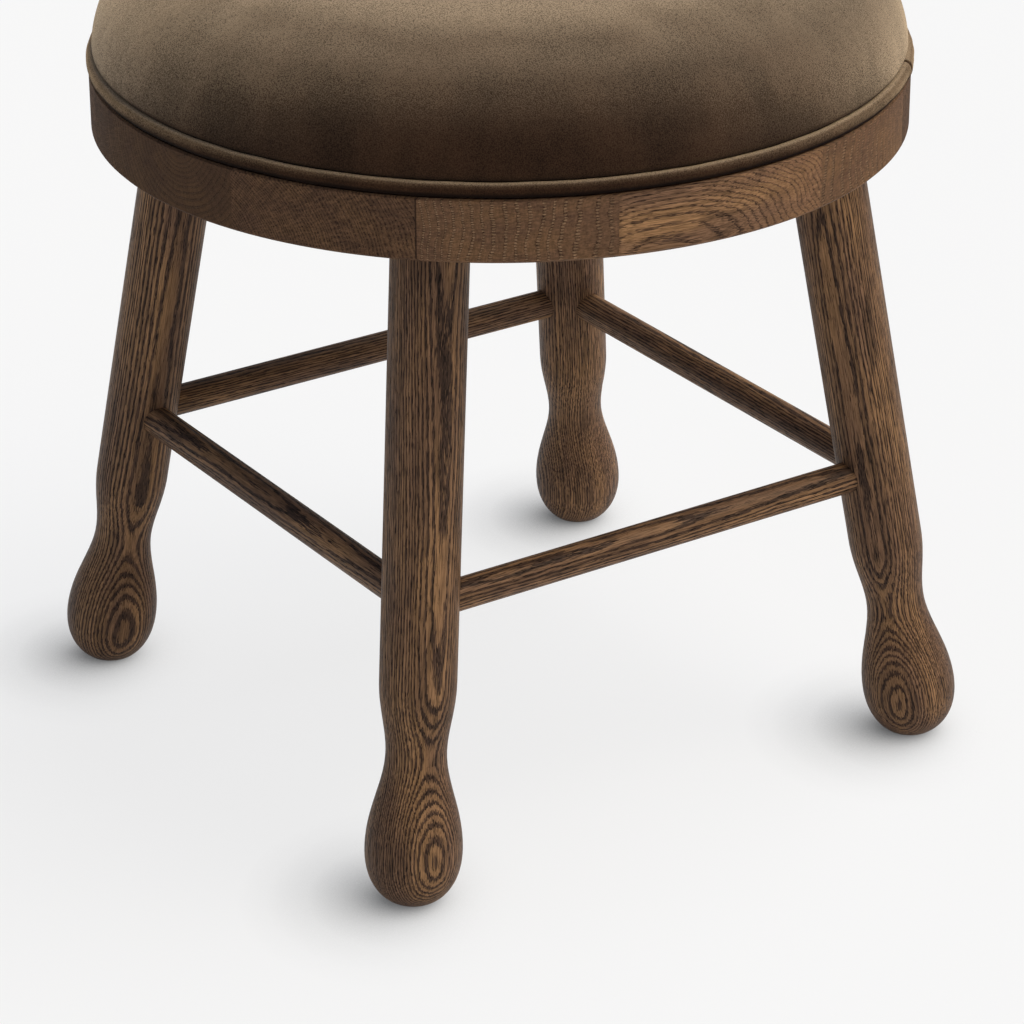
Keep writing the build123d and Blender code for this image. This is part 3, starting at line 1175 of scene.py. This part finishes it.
        dome = cover.vertex_groups.new(name="dome")
        for point in cover.data.vertices:
            share = min(max((point.co.z - side_height) / self.eased_rise, 0.0), 1.0)
            dome.add([point.index], share, "REPLACE")
        apply_modifier(cover, "SHRINKWRAP", {"target": body, "vertex_group": dome.name})
        apply_modifier(cover, "SMOOTH", {"factor": 0.5, "iterations": 3, "vertex_group": dome.name})
        bpy.data.objects.remove(body)

    def build(self, velvet: Velvet) -> None:
        """Makes the stuffed cover.

        Args:
            velvet: The finish.
        """
        cover = turned_form("velvet_cover", self.outline(), self.segments)
        self.stuff(cover)
        apply_modifier(cover, "SUBSURF", {"levels": 1, "render_levels": 1, "use_limit_surface": False})
        velvet.dress(cover, "velvet_pad", self.painted_shade_band_mm, self.upright_sheen)
        settle(cover, Slot.VELVET, "seat_cover")

    def dress_inside(self) -> None:
        """Finishes the parts of the pad that the cover hides, and its fixings."""
        nodes = frame["nodes"]
        Plywood().dress(nodes["pad_base"])
        FOAM.dress(nodes["pad_foam"])
        WADDING.dress(nodes["pad_wadding"])
        STEEL.dress(nodes["cover_staples"])
        STEEL.dress(nodes["pad_screws"])
        log.info("inside of the pad dressed")


@dataclass
class Welt:
    """The velvet welt round the foot of the pad, with the lap where its ends meet.

    Attributes:
        circle: Radius of its ring.
        height: Height of its middle.
        radius: Radius of the welt.
        lap_angle: Place of the lap about the stool's axis, in degrees.
        crowding: How strongly the rings of points crowd towards the lap.
        rings: Rings of points along the welt.
        sides: Points in a ring.
        lap_slant_mm: How far the lap's edge leans along the welt from its middle to its top.
        lap_reach_mm: How far along the welt the lap is felt.
        groove_mm: Depth and half width of the groove at the lap's edge.
        tucked_mm: Height, distance and half width of the swelling before it.
        folded_mm: Height and length of the swelling after it.
        sewing_mm: Unevenness of the welt's thickness.
        sewing_waves: How often that comes about, for each radius along the ring.
        wave_mm: Unevenness of its height.
        waves: How often that comes about.
        wave_start: Sets the second unevenness apart from the first.
        hem: Radius of the flange's inner edge.
        flange_thickness: Thickness of the flange.
        flange_sides: Points round the flange.
        painted_shade_band_mm: Heights between which painted shade darkens the welt's underside, standing in
            for the shadow in the gap above the seat.
        upright_sheen: Share of the sheen that is left where the welt stands upright.
    """

    circle: float = WELT_CIRCLE
    height: float = WELT_HEIGHT
    radius: float = 0.0038
    lap_angle: float = 44.5
    crowding: float = 0.88
    rings: int = 560
    sides: int = 24
    lap_slant_mm: float = 2.6
    lap_reach_mm: float = 90.0
    groove_mm: Pair = (1.25, 0.6)
    tucked_mm: Triple = (0.5, 3.4, 2.6)
    folded_mm: Pair = (0.8, 10.0)
    sewing_mm: float = 0.22
    sewing_waves: float = 26.0
    wave_mm: float = 0.25
    waves: float = 11.0
    wave_start: Triple = (7.3, 1.9, 4.1)
    hem: float = 0.1836
    flange_thickness: float = 0.0009
    flange_sides: int = 180
    painted_shade_band_mm: Pair = (385.3, 383.3)
    upright_sheen: float = 0.12

    def radius_at(self, from_lap: float) -> float:
        """The welt's radius near its lap, in millimetres.

        Args:
            from_lap: Distance along the welt from the lap's edge, in millimetres.

        Returns:
            The radius.
        """
        size = self.radius / MM
        if abs(from_lap) < self.lap_reach_mm:
            depth, width = self.groove_mm
            size -= depth * math.exp(-((from_lap / width) ** 2))
            if from_lap < 0.0:
                height, away, width = self.tucked_mm
                size += height * math.exp(-(((from_lap + away) / width) ** 2))
            else:
                height, length = self.folded_mm
                size += height * math.exp(-from_lap / length)
        return size

    def shape(self, piece: bpy.types.Object) -> None:
        """Works the lap and the small unevenness of sewing into the ring.

        Args:
            piece: The plain ring.
        """
        points = points_of(piece)
        moved = np.empty_like(points)
        lap = math.radians(self.lap_angle)
        for row, (px, py, pz) in enumerate(points):
            turn = math.atan2(py, px)
            turn -= self.crowding * math.sin(turn)
            side = math.hypot(px, py) - self.circle
            rise = pz - self.height
            along = self.circle * turn / MM
            lift = math.atan2(rise, side)
            size = self.radius_at(along - self.lap_slant_mm * math.sin(lift))
            place = Vector((math.cos(turn), math.sin(turn), 0.0))
            size += self.sewing_mm * noise.noise(place * self.sewing_waves + UP * (lift * 0.4))
            wave = self.wave_mm * noise.noise(place * self.waves + Vector(self.wave_start))
            out = self.circle / MM + size * math.cos(lift)
            angle = turn + lap
            moved[row] = (
                out * MM * math.cos(angle), out * MM * math.sin(angle),
                self.height + (size * math.sin(lift) + wave) * MM,
            )
        move_points(piece, moved)

    def flange(self) -> bpy.types.Object:
        """Makes the flat of the welt that is held under the pad.

        Returns:
            The flange.
        """
        low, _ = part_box("welt_cover")
        to_object_mode()
        bpy.ops.mesh.primitive_circle_add(
            vertices=self.flange_sides, radius=self.hem, fill_type="NOTHING",
            location=(0.0, 0.0, low.z + self.flange_thickness), enter_editmode=True,
        )
        bpy.ops.mesh.extrude_region_move()
        widen((self.circle - 0.5 * self.radius) / self.hem)
        face_outwards()
        piece = leave("welt_flange")
        apply_modifier(piece, "SOLIDIFY", {"thickness": self.flange_thickness, "offset": -1.0})
        return piece

    def build(self, velvet: Velvet) -> None:
        """Makes the welt.

        Args:
            velvet: The finish.
        """
        flange = self.flange()
        to_object_mode()
        bpy.ops.mesh.primitive_torus_add(
            major_radius=self.circle, minor_radius=self.radius, major_segments=self.rings,
            minor_segments=self.sides, location=(0.0, 0.0, self.height),
        )
        ring = leave("velvet_welt")
        self.shape(ring)
        apply_modifier(ring, "SUBSURF", {"levels": 1, "render_levels": 1, "use_limit_surface": False})
        take(ring)
        flange.select_set(True)
        bpy.ops.object.join()
        bpy.ops.object.shade_smooth_by_angle(angle=math.radians(50.0))
        velvet.dress(ring, "velvet_welt", self.painted_shade_band_mm, self.upright_sheen)
        settle(ring, Slot.VELVET, "welt_cover")
        CORD.dress(frame["nodes"]["welt_cord"])
        log.info("welt_cord dressed")


@dataclass(frozen=True)
class SoftLamp:
    """A broad far lamp.

    Attributes:
        name: What it is called.
        azimuth: Where it stands about the camera's view, in degrees to the right of the camera.
        elevation: Its height, in degrees.
        strength: Its strength.
        spread: Its apparent width, in degrees.
        colour: The colour of its light.
        distance: How far off it hangs.
    """

    name: str
    azimuth: float
    elevation: float
    strength: float
    spread: float
    colour: Triple
    distance: float = 3.0

    def build(self, camera_angle: float) -> None:
        """Hangs the lamp.

        Args:
            camera_angle: Angle about the stool's axis at which the camera stands, in degrees.
        """
        lamp = bpy.data.lights.new(self.name, "SUN")
        lamp.energy = self.strength
        lamp.angle = math.radians(self.spread)
        lamp.color = self.colour
        holder = bpy.data.objects.new(self.name, lamp)
        rise = math.radians(self.elevation)
        source = bearing(camera_angle + self.azimuth) * math.cos(rise) + UP * math.sin(rise)
        holder.rotation_euler = source.to_track_quat("Z", "Y").to_euler()
        holder.location = source * self.distance
        bpy.context.collection.objects.link(holder)


@dataclass
class Studio:
    """The camera, the lamps and the pale floor.

    Attributes:
        azimuth: The camera's turn about the stool, in degrees.
        pitch: How far it looks down, in degrees.
        roll: How far it leans, in degrees.
        eye: Where it stands.
        focal_mm: Focal length on a sensor 36 mm wide.
        paper: Brightness of the background.
        floor_size: Length of the floor's sides.
        plain: Colour of the floor as it lights the stool.
        shade: Part of the floor's colour that the stool's broad shadow dims.
        glow: Part that only the painted shadows round its feet dim.
        contact: How far those reach, from the darkest to the faintest.
        contact_depth: How dark they are.
        fill_left: Colour of the room at the left.
        fill_right: Colour of the room at the right.
        lamps: The lamps.
    """

    azimuth: float = 56.519
    pitch: float = 25.773
    roll: float = 0.217
    eye: Triple = (1.6836, -1.1070, 1.0840)
    focal_mm: float = 141.47
    paper: float = 0.93
    floor_size: float = 16.0
    plain: Colour = (0.8, 0.8, 0.8, 1.0)
    shade: Colour = (0.145, 0.15, 0.162, 1.0)
    glow: float = 0.76
    contact: Tuple[float, ...] = (0.035, 0.055, 0.07)
    contact_depth: float = 1.2
    fill_left: Colour = (0.19, 0.22, 0.285, 1.0)
    fill_right: Colour = (0.36, 0.335, 0.29, 1.0)
    lamps: Tuple[SoftLamp, ...] = (
        SoftLamp(
            "key", azimuth=66.0, elevation=50.0, strength=1.2, spread=55.0, colour=(1.0, 0.85, 0.6)
        ),
        SoftLamp(
            "top", azimuth=112.0, elevation=58.0, strength=2.3, spread=60.0, colour=(1.0, 0.975, 0.93)
        ),
        SoftLamp(
            "left", azimuth=-75.0, elevation=50.0, strength=0.14, spread=60.0, colour=(0.8, 0.92, 1.0)
        ),
    )

    def place_camera(self) -> None:
        """Sets the camera at the photograph's view."""
        data = bpy.data.cameras.new("camera")
        data.sensor_width = SENSOR_MM
        data.lens = self.focal_mm
        camera = bpy.data.objects.new("camera", data)
        turn = Matrix.Rotation(math.radians(self.azimuth), 4, "Z")
        tip = Matrix.Rotation(math.radians(90.0 - self.pitch), 4, "X")
        lean = Matrix.Rotation(math.radians(-self.roll), 4, "Z")
        camera.matrix_world = Matrix.Translation(self.eye) @ turn @ tip @ lean
        bpy.context.collection.objects.link(camera)
        bpy.context.scene.camera = camera

    def lay_floor(self) -> None:
        """Lays a pale floor that keeps the stool's shadow, with painted shadows round its feet."""
        to_object_mode()
        bpy.ops.mesh.primitive_plane_add(size=self.floor_size, location=(0.0, 0.0, 0.0))
        floor = bpy.context.object
        floor.name = "floor"
        graph = Graph(bpy.data.materials.new("paper"))
        rays = graph.add("ShaderNodeLightPath").outputs
        seen = Signal(graph, rays["Is Camera Ray"]).greater(Signal(graph, rays["Is Glossy Ray"]))
        seen = seen.greater(Signal(graph, rays["Is Transmission Ray"]))
        plain = graph.add("ShaderNodeBsdfDiffuse", None, {"Color": self.plain})
        shadowed = graph.add("ShaderNodeBsdfDiffuse", None, {"Color": self.shade})
        # Painted shadows: the glow is dimmed by ambient occlusion whose hemisphere leans to the camera's
        # right, so the dark patches fall to the left of the feet.
        lean = (bearing(self.azimuth) + UP).normalized()
        normal = graph.join(*lean)
        clear_of_painted_shadow = 1.0
        for reach in self.contact:
            sockets = {"Distance": reach, "Normal": normal}
            free = graph.signal("ShaderNodeAmbientOcclusion", {"samples": 6}, sockets, "AO")
            clear_of_painted_shadow = free ** (self.contact_depth / len(self.contact)) * clear_of_painted_shadow
        paper = graph.shade((1.0, 1.0, 1.0), clear_of_painted_shadow * self.glow)
        glow = graph.add("ShaderNodeEmission", None, {"Color": paper})
        lit = graph.add("ShaderNodeAddShader", None, {0: shadowed.outputs[0], 1: glow.outputs[0]})
        both = graph.add("ShaderNodeMixShader", None, {0: seen, 1: plain.outputs[0], 2: lit.outputs[0]})
        graph.put_on(floor, both.outputs[0])

    def light(self) -> None:
        """Hangs the lamps and sets the even light of the room."""
        for lamp in self.lamps:
            lamp.build(self.azimuth - 90.0)
        room = Graph(bpy.data.worlds.new("room"))
        rays = room.add("ShaderNodeLightPath").outputs
        gaze = room.add("ShaderNodeTexCoord").outputs["Generated"]
        rightwards = room.along(gaze, bearing(self.azimuth))
        share = room.signal("ShaderNodeMapRange", None, {"Value": rightwards, "From Min": -1.0})
        tint = room.mix(share, self.fill_left, self.fill_right)
        even = room.add("ShaderNodeBackground", None, {"Color": tint})
        paper = room.add("ShaderNodeBackground", None, {"Strength": self.paper})
        sockets = {0: rays["Is Camera Ray"], 1: even.outputs[0], 2: paper.outputs[0]}
        both = room.add("ShaderNodeMixShader", None, sockets)
        room.add("ShaderNodeOutputWorld", None, {"Surface": both.outputs[0]})
        bpy.context.scene.world = room.owner
        bpy.context.scene.view_settings.view_transform = "Standard"


def main() -> None:
    """Builds the scene around the frame."""
    logging.basicConfig(level=logging.INFO, format="%(name)s: %(message)s")
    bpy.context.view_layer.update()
    studio = Studio()
    studio.place_camera()
    studio.lay_floor()
    studio.light()
    SeatPanel().dress(Oak(gloss=0.05))
    legs = LegFrame()
    legs.dress_legs(Oak())
    legs.dress_rods(Oak())
    legs.build_glides(FELT)
    pad = Pad()
    pad.build(Velvet())
    pad.dress_inside()
    Welt().build(Velvet(sheen=rgb(222, 194, 160)))
    to_object_mode()


if __name__ == "__main__":
    main()
